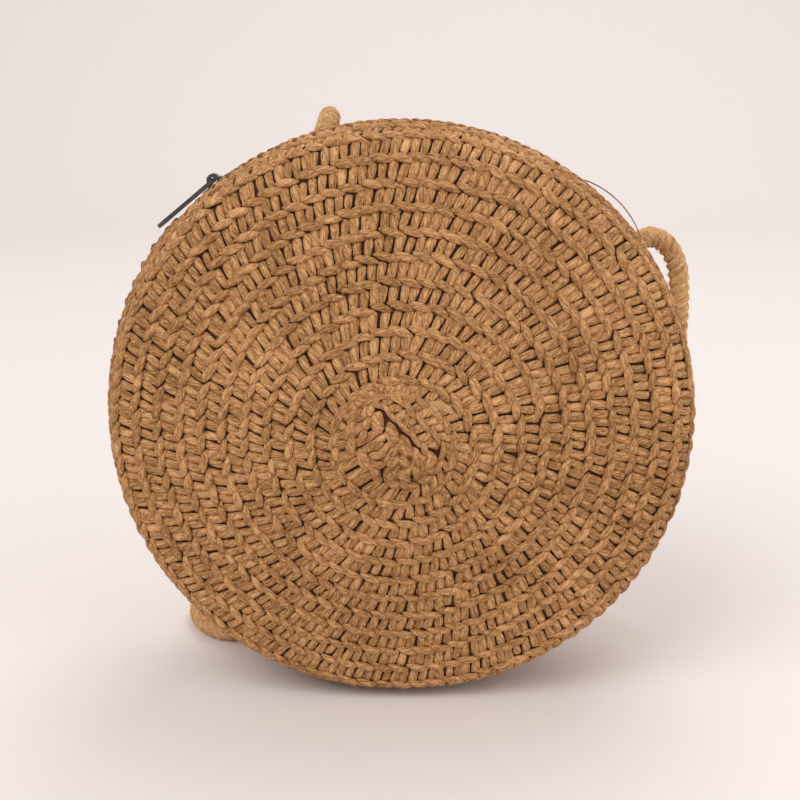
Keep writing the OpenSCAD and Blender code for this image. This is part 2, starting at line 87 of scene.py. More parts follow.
class Dish:
    """Turned shape of one straw dish: side is 1 for the front and -1 for the back."""

    def __init__(self, side, lean_deg, slope_deg):
        self.side = side
        self.lean, self.slope = lean, slope = math.radians(lean_deg), math.radians(slope_deg)
        self.arc = MIDDLE_R / math.sin(slope)
        out = RIM_R + SHOULDER_R * (math.sin(slope) - math.cos(lean))
        deep = SHOULDER_R * (math.sin(lean) + math.cos(slope))
        middle = self.arc * (1 - math.cos(slope))
        self.wall = (DISH_DEPTH - deep - (out - MIDDLE_R) * math.tan(slope) - middle) / (
            math.cos(lean) + math.sin(lean) * math.tan(slope)
        )
        self.shoulder = SHOULDER_R * (math.pi / 2 + lean - slope)
        self.end_r = out + self.wall * math.sin(lean)
        self.end_d = deep + self.wall * math.cos(lean)
        self.cone = (self.end_r - MIDDLE_R) / math.cos(slope)
        self.length = self.wall + self.shoulder + self.cone + self.arc * slope

    def at(self, s):
        """Radius, depth and heading at a length s from the rim."""
        s = np.asarray(s, float)
        on = [s <= end for end in np.cumsum([self.wall, self.shoulder, self.cone])]
        sin, cos = math.sin(self.lean), math.cos(self.lean)
        top_r, top_d = RIM_R + self.wall * sin, self.wall * cos
        turn = self.lean - (s - self.wall) / SHOULDER_R
        down = s - self.wall - self.shoulder
        left = self.slope - (down - self.cone) / self.arc
        flat = down * math.cos(self.slope), down * math.sin(self.slope)
        r = [RIM_R + s * sin, top_r + SHOULDER_R * (np.cos(turn) - cos), self.end_r - flat[0]]
        d = [s * cos, top_d + SHOULDER_R * (sin - np.sin(turn)), self.end_d + flat[1]]
        return (
            np.select(on, r, self.arc * np.sin(left)),
            np.select(on, d, DISH_DEPTH - self.arc * (1 - np.cos(left))),
            np.select(on, [self.lean, turn, self.slope - math.pi / 2], left - math.pi / 2),
        )

    def over(self, s, off):
        """Radius and depth at a length from the rim and a height over the straw."""
        r, d, a = self.at(s)
        return r + off * np.cos(a), d - off * np.sin(a)

    def place(self, u, v, z):
        """Points in metres from a flat map round the dish's middle and a height over the straw."""
        out = np.hypot(u, v)
        r, d = self.over(self.length - out, z)
        out = np.maximum(out, 1e-6)
        x = self.side * r * u / out
        high = pressed(BAG_Z + r * v / out, LEAST_HIGH)
        return np.stack([x, -self.side * d, high], 1) * MM


FRONT = Dish(1, -12, 13.5)
BACK = Dish(-1, -18, 9)
DISHES = ((FRONT, "front"), (BACK, "back"))

# A strip's strands keep their pitch at this distance outward from its line
PACE_OUT = 2.6


class Route:
    """A line on a dish's flat map that a strip of braid follows, with its outward side."""

    def __init__(self, dish, line, outward, width):
        self.dish, self.line, self.outward, self.width = dish, line, outward, width
        at = line + outward * (width * PACE_OUT)[:, None]
        out = np.hypot(*at.T)
        r = dish.at(dish.length - out)[0]
        step = np.diff(at, axis=0)
        mid = (at[1:] + at[:-1]) / 2
        far = np.maximum(np.hypot(*mid.T), 1e-6)
        radial = (step * mid).sum(1) / far
        around = (step[:, 1] * mid[:, 0] - step[:, 0] * mid[:, 1]) / far
        out = (out[1:] + out[:-1]) / 2
        squeeze = ((r[1:] + r[:-1]) / 2) / np.maximum(out, 1e-6)
        squeeze = np.where(out < 1.0, 1.0, squeeze)
        self.along = np.concatenate([[0], np.cumsum(np.hypot(radial, around * squeeze))])

    def flat(self, x, y):
        """Places on the flat map from places along and across the strip."""
        line = [np.interp(x, self.along, self.line[:, k]) for k in (0, 1)]
        side = [np.interp(x, self.along, self.outward[:, k]) for k in (0, 1)]
        y = y * np.interp(x, self.along, self.width)
        return line[0] + y * side[0], line[1] + y * side[1]


# The coil's radius is COIL_FIRST at 0 degrees. Further in it closes on a folded seam by CORE_RATE
# a degree, and its middle goes from the seam's to COIL_MID and then to the dish's own.
COIL_PITCH = 6.8
COIL_FIRST = 27.4
COIL_MID = np.array([-0.97, -0.28])
SEAM_MID = np.array([-0.25, 6.04])
SEAM_DIR = np.array([0.697, -0.717])
SEAM_HALF = 8.0
SEAM_ENDS = 0.012
CORE_START = -1600.0
CORE_OPENS = -1290.0
CORE_OUT = 0.35
CORE_RATE = 6.65 / 210
CALM_FROM = -1330.0
CALM_OVER = 780.0
MID_FROM = 17.0
MID_OVER = 45.0
STEP_DEG = 0.25
PAST_LAST = 420
WIDTHS = (0.62, 1.75)
WIDTH_SOFT = 160
# How far the coil runs on under the ring that covers its end, and where it is cut and dips
COIL_UNDER = 0.5
COIL_CUT = 0.4
COIL_DIP = 0.6


def coil_route(dish):
    """The coiled braid, from its folded start in the middle out to the last closed ring."""
    last = (dish.length - RING_S - COIL_FIRST) / COIL_PITCH * 360
    deg = np.arange(CORE_START, last + PAST_LAST, STEP_DEG)
    theta = -np.radians(deg)
    core = CORE_OUT + (deg - CORE_OPENS) * CORE_RATE
    out = np.maximum(np.minimum(COIL_FIRST + COIL_PITCH * deg / 360, core), CORE_OUT)
    side = np.stack([np.cos(theta), np.sin(theta)], 1)
    lean = side @ SEAM_DIR
    calm = eased(np.clip((deg - CALM_FROM) / CALM_OVER, 0, 1))
    far = np.clip((out - MID_FROM) / MID_OVER, 0, 1)
    mid = (1 - calm)[:, None] * SEAM_MID + (calm * (1 - far))[:, None] * COIL_MID
    half = SEAM_HALF * (1 - calm) * lean / np.sqrt(lean * lean + SEAM_ENDS)
    half = half * math.sqrt(1 + SEAM_ENDS)
    line = mid + half[:, None] * SEAM_DIR + side * out[:, None]
    ahead = int(360 / STEP_DEG)
    width = np.ones(len(deg))
    width[:-ahead] = np.hypot(*(line[ahead:] - line[:-ahead]).T) / COIL_PITCH
    window = np.ones(WIDTH_SOFT + 1) / (WIDTH_SOFT + 1)
    width = np.convolve(np.pad(width, WIDTH_SOFT // 2, "edge"), window, "valid")
    width = np.clip(width, *WIDTHS)
    keep = out < dish.length - RING_S + COIL_UNDER
    return Route(dish, line[keep], side[keep], width[keep])


def ring_route(dish, s, start=360.0, end=0.0, wide=COIL_PITCH):
    """One ring of braid at a fixed length from the rim; angles are in the dish's own map."""
    theta = np.radians(np.arange(start, end - 0.01, -STEP_DEG))
    side = np.stack([np.cos(theta), np.sin(theta)], 1)
    return Route(dish, side * (dish.length - s), side, np.full(len(theta), wide / COIL_PITCH))


def mouth_of(dish):
    """The mouth's two ends in the dish's own map."""
    return MOUTH if dish.side > 0 else (180 - MOUTH[1], 180 - MOUTH[0])


# -------- modelling helpers


def only(piece):
    """Selects one piece and nothing else."""
    bpy.ops.object.select_all(action="DESELECT")
    piece.select_set(True)
    bpy.context.view_layer.objects.active = piece


def added(name, make, **settings):
    """A new object made by an operator, selected alone."""
    bpy.ops.object.select_all(action="DESELECT")
    make(**settings)
    bpy.context.object.name = name
    return bpy.context.object


def edited(piece):
    """Opens a piece in edit mode with all of it selected."""
    only(piece)
    bpy.ops.object.mode_set(mode="EDIT")
    bpy.ops.mesh.select_all(action="SELECT")


def picked(piece, test=None, flags=None):
    """Selects in edit mode the vertices that are flagged, or that pass a test on their places."""
    bpy.ops.object.mode_set(mode="OBJECT")
    if flags is None:
        flags = [test(v.co) for v in piece.data.vertices]
    for item in (piece.data.polygons, piece.data.edges):
        item.foreach_set("select", [False] * len(item))
    piece.data.vertices.foreach_set("select", [bool(flag) for flag in flags])
    bpy.ops.object.mode_set(mode="EDIT")


def tightened(piece, sharp_deg, merge=None):
    """Turns a closed piece's faces outward and smooths all but its sharp edges."""
    edited(piece)
    if merge:
        bpy.ops.mesh.remove_doubles(threshold=merge)
    bpy.ops.mesh.normals_make_consistent(inside=False)
    bpy.ops.object.mode_set(mode="OBJECT")
    bpy.ops.object.shade_smooth_by_angle(angle=math.radians(sharp_deg))


def points_of(piece):
    """The places of a piece's points, one row each."""
    co = np.zeros(len(piece.data.vertices) * 3)
    piece.data.vertices.foreach_get("co", co)
    return co.reshape(-1, 3)


def moved(piece, points):
    """Puts a piece's points at new places."""
    piece.data.vertices.foreach_set("co", points.ravel())
    piece.data.update()
    return piece


def mapped(piece, tone, strand):
    """Stores each strand's shade and its own map, which the straw's finish reads."""
    add = piece.data.attributes.new
    add("tone", "FLOAT", "POINT").data.foreach_set("value", tone.ravel())
    add("strand", "FLOAT_VECTOR", "POINT").data.foreach_set("vector", strand.ravel())
    return piece


def applied(piece, kind, **settings):
    """Adds a modifier to a piece, sets it and applies it."""
    only(piece)
    bpy.ops.object.modifier_add(type=kind)
    modifier = piece.modifiers[-1]
    for key, value in settings.items():
        setattr(modifier, key, value)
    bpy.ops.object.modifier_apply(modifier=modifier.name)
    return piece


# A ring that has been placed stands this far off, clear of those still to be picked
CLEAR = 100
# Moves each strand to its own part of the fibres' pattern
TONE_SHIFT = 97
# How deep a strand dips under the next row
SINK_DEEP = 1.7


def grain(name, rings, tips, sides=8):
    """One strand: a ball drawn out along X, its rings given as x, y, z, half width and height."""
    steps = len(rings) + 1
    ball = bpy.ops.mesh.primitive_uv_sphere_add
    piece = added(name, ball, segments=sides, ring_count=steps, radius=1)
    edited(piece)
    for axis, angle in (("Z", math.pi / sides), ("Y", math.pi / 2)):
        bpy.ops.transform.rotate(value=angle, orient_axis=axis, center_override=(0, 0, 0))
    for i, (x, y, z, wide, high) in enumerate(rings):
        angle = math.pi * (i + 1) / steps
        at, size = -math.cos(angle), math.sin(angle)
        picked(piece, lambda co: abs(co.x - at) < 1e-3 and math.hypot(co.y, co.z) <= 1.01)
        bpy.ops.transform.resize(value=(1, wide / size, high / size))
        bpy.ops.transform.translate(value=(x - at + CLEAR, y, z))
    for end, at in zip(tips, (-1, 1)):
        picked(piece, lambda co: abs(co.x - at) < 1e-3)
        bpy.ops.transform.translate(value=(end[0] - at + CLEAR, end[1], end[2]))
    bpy.ops.mesh.select_all(action="SELECT")
    bpy.ops.transform.translate(value=(-CLEAR, 0, 0))
    bpy.ops.object.mode_set(mode="OBJECT")
    bpy.ops.object.shade_smooth()
    return piece


def row_map(piece, count, pitch):
    """A straight row of one strand: each strand in its own place, its shade and its map."""
    applied(
        piece,
        "ARRAY",
        count=count,
        use_relative_offset=False,
        use_constant_offset=True,
        constant_offset_displace=(pitch, 0, 0),
    )
    co = points_of(piece).reshape(count, -1, 3)
    co[..., 0] -= np.arange(count)[:, None] * pitch
    tone = np.repeat(rng.random(count)[:, None], co.shape[1], 1)
    return co, tone, co + tone[..., None] * (0, 0, TONE_SHIFT)


def laid(piece, count, route, loose, keep=None, sink=None):
    """Lays one strand a number of times along a route on a dish.

    loose is how far they stray along, across, in turn, in width and in height. Strands whose
    points fail keep are dropped, and those past sink on the dish's map dip under the next row.
    """
    pitch = route.along[-1] / count
    co, tone, strand = row_map(piece, count, pitch)
    x, y, z = co[..., 0], co[..., 1], co[..., 2]
    mid = y.mean()
    turn = rng.normal(0, loose[2], (count, 1))
    wide = 1 + rng.normal(0, loose[3], (count, 1))
    x, y = x * wide - (y - mid) * turn, mid + (y - mid) * wide + x * turn
    x = x + np.arange(count)[:, None] * pitch + rng.normal(0, loose[0], (count, 1))
    y = y + rng.normal(0, loose[1], (count, 1))
    z = (z + rng.normal(0, loose[4], (count, 1))).ravel()
    u, v = route.flat(x.ravel(), y.ravel())
    out = np.hypot(u, v)
    if sink is not None:
        z = z - SINK_DEEP * eased(np.clip(out - sink, 0, 1))
    points = route.dish.place(u, v, z)
    mapped(moved(piece, points), tone, strand)
    if keep is not None:
        whole = keep(out.reshape(count, -1), points.reshape(count, -1, 3))
        dropped = ~np.repeat(whole, co.shape[1])
        if dropped.any():
            only(piece)
            picked(piece, flags=dropped)
            bpy.ops.mesh.delete(type="VERT")
            bpy.ops.object.mode_set(mode="OBJECT")
    return piece


def row_of(piece, route, pitch, loose, keep=None):
    """Lays one strand along a route at about a pitch."""
    return laid(piece, max(2, round(route.along[-1] / pitch)), route, loose, keep)


def joined(name, pieces):
    """Several pieces made one."""
    bpy.ops.object.select_all(action="DESELECT")
    for piece in pieces:
        piece.select_set(True)
    bpy.context.view_layer.objects.active = pieces[0]
    bpy.ops.object.join()
    pieces[0].name = pieces[0].data.name = name
    return pieces[0]


def meshed(name, points, faces, smooth=True):
    """A piece from its points in metres and its faces."""
    mesh = bpy.data.meshes.new(name)
    mesh.from_pydata([tuple(p) for p in points], [], [tuple(f) for f in faces])
    mesh.validate()
    piece = bpy.data.objects.new(name, mesh)
    bpy.context.scene.collection.objects.link(piece)
    if smooth:
        mesh.shade_smooth()
    return piece


def kept(piece, slot, look, *nodes):
    """Hangs a finished piece on the bag and gives it its finish."""
    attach(piece, "bag")
    if nodes:
        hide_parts(*nodes)
    coated(piece, look)
    return piece


def coated(piece, look):
    """Gives a piece one finish in place of all it had."""
    piece.data.materials.clear()
    piece.data.materials.append(finish(look))


# -------- materials


def linear(rgb):
    """Colour as Blender wants it, from 0 to 255 values."""
    return [
        (c / 255 / 12.92 if c / 255 <= 0.04045 else ((c / 255 + 0.055) / 1.055) ** 2.4)
        for c in rgb
    ] + [1.0]


def length_of(label, about, size):
    """A length that the user may change."""
    return FloatProperty(
        name=label,
        description=about,
        default=size * MM,
        min=size * MM * 0.6,
        max=size * MM * 1.6,
        precision=4,
        subtype="DISTANCE",
        unit="LENGTH",
    )


def colour_of(label, about, rgb):
    """A colour that the user may change."""
    return FloatVectorProperty(
        name=label, description=about, default=linear(rgb)[:3], min=0, max=1, subtype="COLOR"
    )


class BagSettings(bpy.types.PropertyGroup):
    """Sizes and colours of the woven bag"""

    leaf_pitch: length_of("Leaf pitch", "Distance from one leaf of the braid to the next", 5.5)
    rope_diameter: length_of("Rope diameter", "Thickness of the twisted shoulder strap", 7.0)
    rope_lay: length_of("Rope lay", "Length of one full turn of the rope's strands", 9.6)
    straw_colour: colour_of("Straw", "Middle colour of the paper straw", (174, 127, 80))
    rope_colour: colour_of("Rope", "Middle colour of the paper rope", (236, 184, 124))
    thread_colour: colour_of("Thread", "Colour of the stitches and the coil's twine", (166, 98, 66))
    lining_colour: colour_of("Lining", "Colour of the cloth inside", (224, 208, 180))
    floor_colour: colour_of("Floor", "Colour of the floor and the wall behind", (231, 224, 221))


def chosen():
    """The sizes and colours as set in the panel."""
    return bpy.context.scene.bag_settings


class Nodes:
    """A small writer of node trees."""

    def __init__(self, tree):
        self.tree = tree

    def add(self, kind, inputs=None, **settings):
        """A node with its inputs and settings."""
        node = self.tree.nodes.new(kind)
        for key, value in settings.items():
            setattr(node, key, value)
        for key, value in (inputs or {}).items():
            self.set(node, key, value)
        return node

    def set(self, node, key, value):
        """Gives an input a value or a link."""
        socket = node.inputs[key]
        if isinstance(value, bpy.types.NodeSocket):
            self.tree.links.new(value, socket)
        else:
            socket.default_value = value

    def noise(self, vector, scale, detail, roughness=0.6, distortion=0.0):
        """A noise pattern's grey values."""
        keys = ("Vector", "Scale", "Detail", "Roughness", "Distortion")
        values = (vector, scale, detail, roughness, distortion)
        return self.add("ShaderNodeTexNoise", dict(zip(keys, values))).outputs["Fac"]

    def attribute(self, name, output):
        """An attribute of the piece's own points."""
        return self.add("ShaderNodeAttribute", attribute_name=name).outputs[output]

    def place(self):
        """Places in the piece's own space."""
        return self.add("ShaderNodeTexCoord").outputs["Object"]

    def math(self, operation, *values):
        """A sum on numbers or sockets."""
        inputs = dict(enumerate(values))
        return self.add("ShaderNodeMath", inputs, operation=operation).outputs[0]

    def mix(self, factor, a, b):
        """A colour between two colours."""
        node = self.add("ShaderNodeMix", data_type="RGBA")
        for key, value in ((0, factor), (6, a), (7, b)):
            self.set(node, key, value)
        return node.outputs[2]

    def relief(self, height, strength, deep):
        """Normals of a fine relief."""
        inputs = {"Height": height, "Strength": strength, "Distance": deep}
        return self.add("ShaderNodeBump", inputs).outputs[0]

    def ramp(self, value, stops):
        """Colours by a grey value."""
        node = self.add("ShaderNodeValToRGB", {0: value})
        ramp = node.color_ramp
        while len(ramp.elements) < len(stops):
            ramp.elements.new(0.5)
        for element, (at, colour) in zip(ramp.elements, stops):
            element.position = at
            element.color = colour
        return node.outputs[0]


def material(name):
    """A new material with its shader and a writer for the rest."""
    made = bpy.data.materials.new(name)
    made.use_nodes = True
    tree = made.node_tree
    tree.nodes.clear()
    nodes = Nodes(tree)
    shader = nodes.add("ShaderNodeBsdfPrincipled")
    out = nodes.add("ShaderNodeOutputMaterial")
    tree.links.new(shader.outputs[0], out.inputs[0])
    return made, nodes, shader


def group_of(name, build, **sockets):
    """A shader node group made once: sockets name its inputs, with their kinds."""
    if name in bpy.data.node_groups:
        return bpy.data.node_groups[name]
    tree = bpy.data.node_groups.new(name, "ShaderNodeTree")
    for socket, kind in sockets.items():
        tree.interface.new_socket(name=socket, in_out="INPUT", socket_type="NodeSocket" + kind)
    nodes = Nodes(tree)
    source = nodes.add("NodeGroupInput")
    given = {socket: source.outputs[socket] for socket in sockets}
    made = build(nodes, given)
    for socket, value in made.items():
        kind = "NodeSocketColor" if value.type == "RGBA" else "NodeSocketFloat"
        tree.interface.new_socket(name=socket, in_out="OUTPUT", socket_type=kind)
    sink = nodes.add("NodeGroupOutput")
    for socket, value in made.items():
        nodes.set(sink, socket, value)
    return tree


def dressed(nodes, shader, colour, height, strength, deep, rougher, rough):
    """Gives a shader its colour, a fine relief and a roughness that follows the relief."""
    nodes.set(shader, "Base Color", colour)
    nodes.set(shader, "Normal", nodes.relief(height, strength, deep))
    nodes.set(shader, "Roughness", nodes.math("MULTIPLY_ADD", height, rougher, rough))


def paper_fibre(nodes, given):
    """Twisted paper: a shade for each strand, stains, long creases, flecks, and the relief."""
    stain = nodes.noise(given["Place"], 34.0, 3.0)
    fleck = nodes.noise(given["Place"], 1500.0, 3.0, 0.75)
    spans = {0: given["Strand"], 1: given["Stretch"]}
    along = nodes.add("ShaderNodeVectorMath", spans, operation="MULTIPLY").outputs[0]
    crease = nodes.noise(along, 1.1, 5.0, 0.74, 0.9)
    wave = nodes.noise(along, 0.8, 1.0, 0.5, 0.5)
    fold = nodes.math("ABSOLUTE", nodes.math("SUBTRACT", wave, 0.5))
    fold = nodes.math("MINIMUM", nodes.math("MULTIPLY", fold, 11.0), 1.0)
    # The colour follows the relief: crease hollows and fold lines are darker as painted shade,
    # raised parts lighter as painted highlight; each strand's tone, the stains and the flecks are
    # the paper's own
    shade = nodes.math("MULTIPLY", given["Tone"], 0.2)
    for part, share in ((stain, 0.5), (crease, 1.5), (fleck, 0.8), (fold, 0.34)):
        shade = nodes.math("ADD", shade, nodes.math("MULTIPLY", part, share))
    shade = nodes.math("SUBTRACT", shade, 1.16)
    height = nodes.math("ADD", crease, nodes.math("MULTIPLY", fold, 0.4))
    return {"Shade": shade, "Height": height}


# The straw's shades from painted shade in its creases to a painted highlight on its raised tops:
# grey value, strength and tint
STRAW_SHADE_TO_HIGHLIGHT = (
    (0.02, 0.36, (1.15, 0.82, 0.5)),
    (0.32, 0.86, (1.04, 0.97, 0.88)),
    (0.58, 1.3, (1.0, 1.0, 1.04)),
    (0.95, 2.1, (0.94, 1.03, 1.2)),
)
CREASE_DEEP = 0.0011


def straw_material(name, colour, stretch, depth):
    """Folded paper ribbons that follow each strand's own length."""
    made, nodes, shader = material(name)
    group = group_of(
        "paper_fibre", paper_fibre, Strand="Vector", Stretch="Vector", Tone="Float", Place="Vector"
    )
    inputs = {
        "Strand": nodes.attribute("strand", "Vector"),
        "Tone": nodes.attribute("tone", "Fac"),
        "Place": nodes.place(),
        "Stretch": stretch,
    }
    paper = nodes.add("ShaderNodeGroup", inputs, node_tree=group)
    # The ramp paints shade into the creases, darkest and reddest there, and a pale highlight onto
    # the raised tops
    stops = [
        (at, [c * share * t for c, t in zip(colour, tint)] + [1.0])
        for at, share, tint in STRAW_SHADE_TO_HIGHLIGHT
    ]
    tone = nodes.ramp(paper.outputs["Shade"], stops)
    dressed(nodes, shader, tone, paper.outputs["Height"], depth, CREASE_DEEP, 0.2, 0.5)
    shader.inputs["Specular IOR Level"].default_value = 0.22
    return made


def mottle(nodes, given):
    """A mottled colour and the fine relief that goes with it."""
    speck = nodes.noise(given["Place"], given["Scale"], 5.0)
    span = {"Value": speck, "From Min": 0.3, "From Max": 0.7}
    spread = nodes.add("ShaderNodeMapRange", span).outputs[0]
    return {"Colour": nodes.mix(spread, given["Dark"], given["Light"]), "Height": speck}


MOTTLE_DEEP = 0.0003


def plain_material(name, colour, darker, scale, roughness, bump, metallic=0.0):
    """A mottled finish with a fine relief, in the piece's own space."""
    made, nodes, shader = material(name)
    group = group_of("mottle", mottle, Place="Vector", Scale="Float", Dark="Color", Light="Color")
    inputs = {
        "Place": nodes.place(),
        "Scale": scale,
        "Dark": [c * darker for c in colour[:3]] + [1.0],
        "Light": [*colour[:3], 1.0],
    }
    look = nodes.add("ShaderNodeGroup", inputs, node_tree=group).outputs
    rough = roughness - 0.09
    dressed(nodes, shader, look["Colour"], look["Height"], bump, MOTTLE_DEEP, 0.18, rough)
    shader.inputs["Metallic"].default_value = metallic
    return made


# Straw finishes: colour, stretch of the fibres along each axis of a strand's map, and relief
STRAW = {
    "leaves": ("straw_colour", (0.3, 1.05, 0.6), 0.8),
    "fingers": ("straw_colour", (1.05, 0.26, 0.6), 0.8),
    "rope": ("rope_colour", (0.5, 1.0, 1.0), 0.9),
}
# Plain finishes: colour, share of it in the dark spots, their scale, roughness, relief, metal
PLAIN = {
    "thread": ("thread_colour", 0.38, 900.0, 0.6, 0.4),
    "lining": ("lining_colour", 0.83, 1300.0, 0.9, 0.35),
    # The under-layer's dark brown is painted shade, shown in the gaps between the strands
    "straw_under": ((104, 56, 24), 0.37, 500.0, 0.8, 0.5),
    "glue": ((206, 156, 98), 0.6, 500.0, 0.4, 0.3),
    "zip_tape": ((184, 146, 104), 0.6, 1400.0, 0.85, 0.5),
    "zip_teeth": ((190, 152, 104), 0.75, 400.0, 0.42, 0.05),
    "zip_metal": ((104, 101, 98), 0.49, 700.0, 0.36, 0.06, 1.0),
}
FINISHES = {}


def finish(name):
    """The finish of that name, made once."""
    if name not in FINISHES:
        maker, table = (straw_material, STRAW) if name in STRAW else (plain_material, PLAIN)
        colour, *look = table[name]
        colour = getattr(chosen(), colour) if isinstance(colour, str) else linear(colour)
        FINISHES[name] = maker(name, colour, *look)
    return FINISHES[name]


# -------- straw dishes

# Rings of a leaf from end to end: place along it, half width, half height and lift
LEAF = (
    (-3.4, 0.62, 0.4, 0.04),
    (-2.3, 1.1, 0.74, 0.4),
    (-0.9, 1.34, 0.94, 0.64),
    (0.7, 1.34, 0.98, 0.7),
    (2.2, 1.08, 0.78, 0.5),
    (3.4, 0.6, 0.44, 0.14),
)
LEAF_TIP = 4.3
LEAF_Y = 1.3
# Rings of a finger before it is turned outward
FINGER = (
    (1.7, 0, 0.16, 0.86, 0.4),
    (2.8, 0, 0.32, 1.16, 0.6),
    (4.2, 0, 0.38, 1.28, 0.7),
    (5.7, 0, 0.26, 1.36, 0.66),
    (7.1, 0, -0.04, 1.2, 0.5),
)
FINGER_TURN = -75
RING_WIDE = 7.0
EDGE_WIDE = 6.1
LEAF_LOOSE = (0.3, 0.12, 0.05, 0.05, 0.08)
FINGER_LOOSE = (0.16, 0.18, 0.07, 0.06, 0.09)


def leaf(name, size=1.0, slant_deg=15, off=LEAF_Y):
    """A leaf of the braid: a pointed spindle on a slant, its ends drawn under the next ones."""
    slant = math.tan(math.radians(slant_deg))
    rings = [(x, off - x * slant, z, wide, high) for x, wide, high, z in LEAF]
    tips = [(x, off - x * slant, z) for x, z in ((-LEAF_TIP, -0.3), (LEAF_TIP, -0.1))]
    return grain(name, np.array(rings) * size, np.array(tips) * size)


def finger(name):
    """A finger of the braid: a blunt folded ribbon that reaches out from the leaves."""
    piece = grain(name, FINGER, ((0.9, 0, 0.0), (8.2, 0, -0.45)))
    edited(piece)
    turn = math.radians(FINGER_TURN)
    bpy.ops.transform.rotate(value=turn, orient_axis="Z", center_override=(0, 0, 0))
    bpy.ops.object.mode_set(mode="OBJECT")
    if points_of(piece)[:, 1].sum() < 0:
        piece.data.transform(Matrix.Scale(-1, 4, (0, 1, 0)))
        piece.data.flip_normals()
    return piece


def braid(name, route, keep=None, sink=None):
    """Leaves and fingers along one route on a dish."""
    count = max(2, round(route.along[-1] * MM / chosen().leaf_pitch))
    leaves = laid(leaf(name + "_leaves"), count, route, LEAF_LOOSE, keep, sink)
    return leaves, laid(finger(name + "_fingers"), count * 2, route, FINGER_LOOSE, keep, sink)


UNDER_OFF = -0.55
UNDER_HIGH = 0.3
LINING_EDGE = 6.9
SKIN_STEP = 3.2


def skin_profile(dish, from_s, high, low):
    """Closed outline of a dish's skin between two heights over the straw's surface."""
    s = np.concatenate(
        [
            [from_s, EDGE_S, LINING_EDGE, dish.length],
            np.arange(from_s, dish.length, SKIN_STEP),
            np.linspace(dish.wall, dish.wall + dish.shoulder, 8),
        ]
    )
    s = np.unique(s[(s >= from_s) & (s <= dish.length)])
    outline = []
    for off, order in ((high, s), (low, s[::-1])):
        r, d = dish.over(order, off)
        outline += list(zip(np.maximum(r, 0.0), d))
    return outline


def turned(name, dish, outline, start, end, steps):
    """A closed outline spun round the bag's axis between two angles of the dish's own map."""
    a = math.radians(start)
    points = [
        (dish.side * r * math.cos(a) * MM, -dish.side * d * MM, (BAG_Z + r * math.sin(a)) * MM)
        for r, d in outline
    ]
    piece = meshed(name, points, [range(len(points))], smooth=False)
    edited(piece)
    bpy.ops.mesh.spin(
        steps=steps,
        angle=math.radians(end - start) * dish.side,
        center=(0, 0, BAG_Z * MM),
        axis=(0, 1, 0),
    )
    bpy.ops.object.mode_set(mode="OBJECT")
    return piece


def straw_skin(name, dish, high, low, mouth_s=EDGE_S):
    """A dish's closed skin: low at the mouth, up to the rim elsewhere, on its own side."""
    start, end = mouth_of(dish)
    parts = [
        turned(name, dish, skin_profile(dish, mouth_s, high, low), start, end, 60),
        turned(name, dish, skin_profile(dish, 0.1, high, low), end, start + 360, 100),
    ]
    piece = joined(name, parts)
    tightened(piece, 40, merge=0.02 * MM)
    co = points_of(piece)
    co[:, 2] = pressed(co[:, 2] / MM, UNDER_HIGH) * MM
    co[:, 1] = -dish.side * np.maximum(-dish.side * co[:, 1], 0)
    return moved(piece, co)


class BAG_OT_dishes(bpy.types.Operator):
    """Lays the coiled braid and its under-layer on both dishes"""

    bl_idname = "bag.dishes"
    bl_label = "Straw dishes"

    def execute(self, context):
        for dish, side in DISHES:
            # The under-layer is dark brown as painted shade in the gaps between the strands
            skin = straw_skin(side + "_under", dish, UNDER_OFF, -STRAW_T)
            kept(skin, "straw", "straw_under", side + "_shell")
            limit = dish.length - RING_S
            start, end = mouth_of(dish)

            def inside(out, points):
                return out.min(1) < limit - COIL_CUT

            strips = [
                braid(side + "_coil", coil_route(dish), inside, limit - COIL_DIP),
                braid(side + "_r2", ring_route(dish, RING_S, wide=RING_WIDE)),
                braid(side + "_r1", ring_route(dish, EDGE_S, start + 360, end, EDGE_WIDE)),
            ]
            for kind, pieces in zip(("leaves", "fingers"), zip(*strips)):
                kept(joined(f"{side}_{kind}", pieces), "straw", kind)
        return {"FINISHED"}


# -------- edges and centre

STITCH_ROWS = (7.7, 9.7)
STITCH_PITCH = 2.7
WHIP_PITCH = 6.4
WHIP_CLEAR = 1.2
CORD_IN = 0.9
CORD_LOOSE = (0.1, 0.05, 0.05, 0.05, 0.05)
STITCH_LOOSE = (0.15, 0.12, 0.12, 0.05, 0.06)
WHIP_LOOSE = (0.3, 0.1, 0.06, 0.05, 0.05)
# Rings of a stitch: share of its half length, lift and thickness
STITCH = ((-0.92, -0.5, 0.8), (-0.7, 0.0, 1.0), (0.0, 0.3, 1.0), (0.7, 0.0, 1.0), (0.92, -0.5, 0.8))
# The loose stitch: its first angle, the angle it spans, its start under the rim, rise and place
LOOSE_FROM = 54.5
LOOSE_SPAN = 18.0
LOOSE_UNDER = 1.2
LOOSE_RISE = 2.9
LOOSE_Y = -5.6


def stitch(name, half, slant_deg, thick, z, drop=0.0):
    """A thread stitch that lies over the straw, its ends going down into it."""
    turn = math.radians(slant_deg)
    rings = []
    for share, lift, size in STITCH:
        x, y = share * half * math.cos(turn), share * half * math.sin(turn)
        middle = z + lift * thick * 2 - drop * max(y, 0)
        rings.append((x, y, middle, thick * size * 1.1, thick * size))
    x, y, low = half * math.cos(turn), half * math.sin(turn), z - thick * 3
    return grain(name, rings, ((-x, -y, low), (x, y, low - drop * y)), sides=6)


def bound(name, route, pitch):
    """Narrow leaves laid along an edge of straw."""
    kept(row_of(leaf(name, 0.62, 22), route, pitch, CORD_LOOSE), "straw", "leaves")


